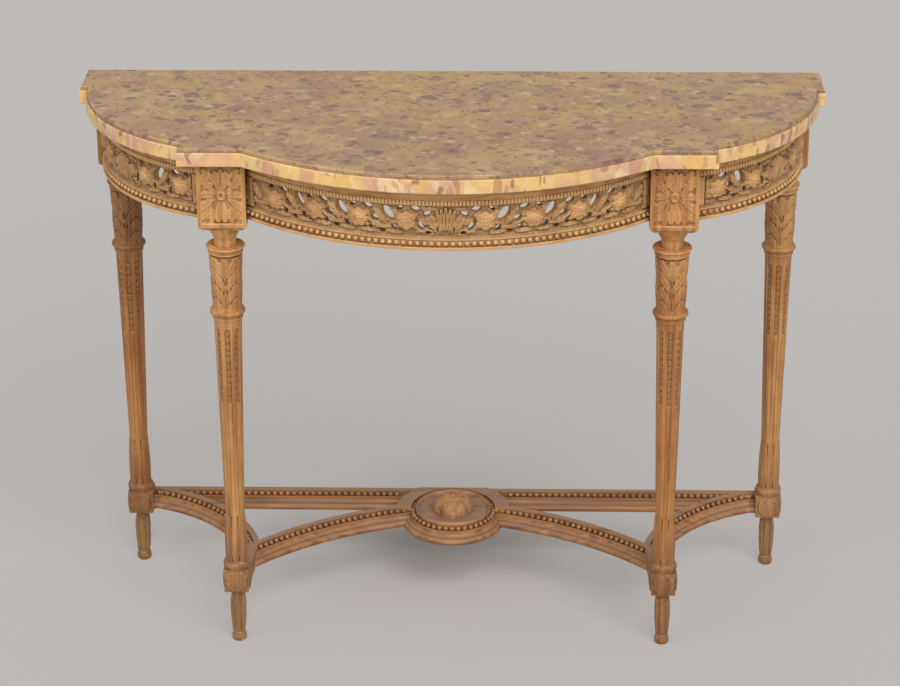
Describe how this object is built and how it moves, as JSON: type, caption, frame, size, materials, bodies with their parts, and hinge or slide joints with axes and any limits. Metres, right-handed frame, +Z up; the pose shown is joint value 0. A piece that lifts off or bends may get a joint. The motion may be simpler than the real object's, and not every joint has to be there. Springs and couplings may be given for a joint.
{
  "type": "pier table",
  "caption": "Bow-fronted pier table: moulded marble slab on turned, fluted and carved legs, with pierced carved friezes and a curved stretcher meeting in a round medallion.",
  "frame": {"origin": "on the floor, under the middle of the slab's box", "axes": "+X to the right of a person facing the table's front, +Y towards the wall behind it, +Z up"},
  "size_m": [1.212, 0.4969, 0.89],
  "materials": {
    "marble": "satin",
    "carved_wood": "satin",
    "plain_wood": "matte",
    "peg_wood": "matte"
  },
  "bodies": {
    "root": {"marble_top": "marble", "front_left_leg": "carved_wood", "front_right_leg": "carved_wood", "back_left_leg": "carved_wood", "back_right_leg": "carved_wood", "front_frieze": "carved_wood", "left_frieze": "carved_wood", "right_frieze": "carved_wood", "back_rail": "plain_wood", "top_bearer": "plain_wood", "back_stretcher": "carved_wood", "left_side_stretcher": "carved_wood", "right_side_stretcher": "carved_wood", "left_front_stretcher": "carved_wood", "right_front_stretcher": "carved_wood", "stretcher_medallion": "carved_wood", "medallion_rosette": "carved_wood", "frieze_pegs": "peg_wood", "back_rail_pegs": "peg_wood", "stretcher_pegs": "peg_wood"}
  },
  "joints": []
}
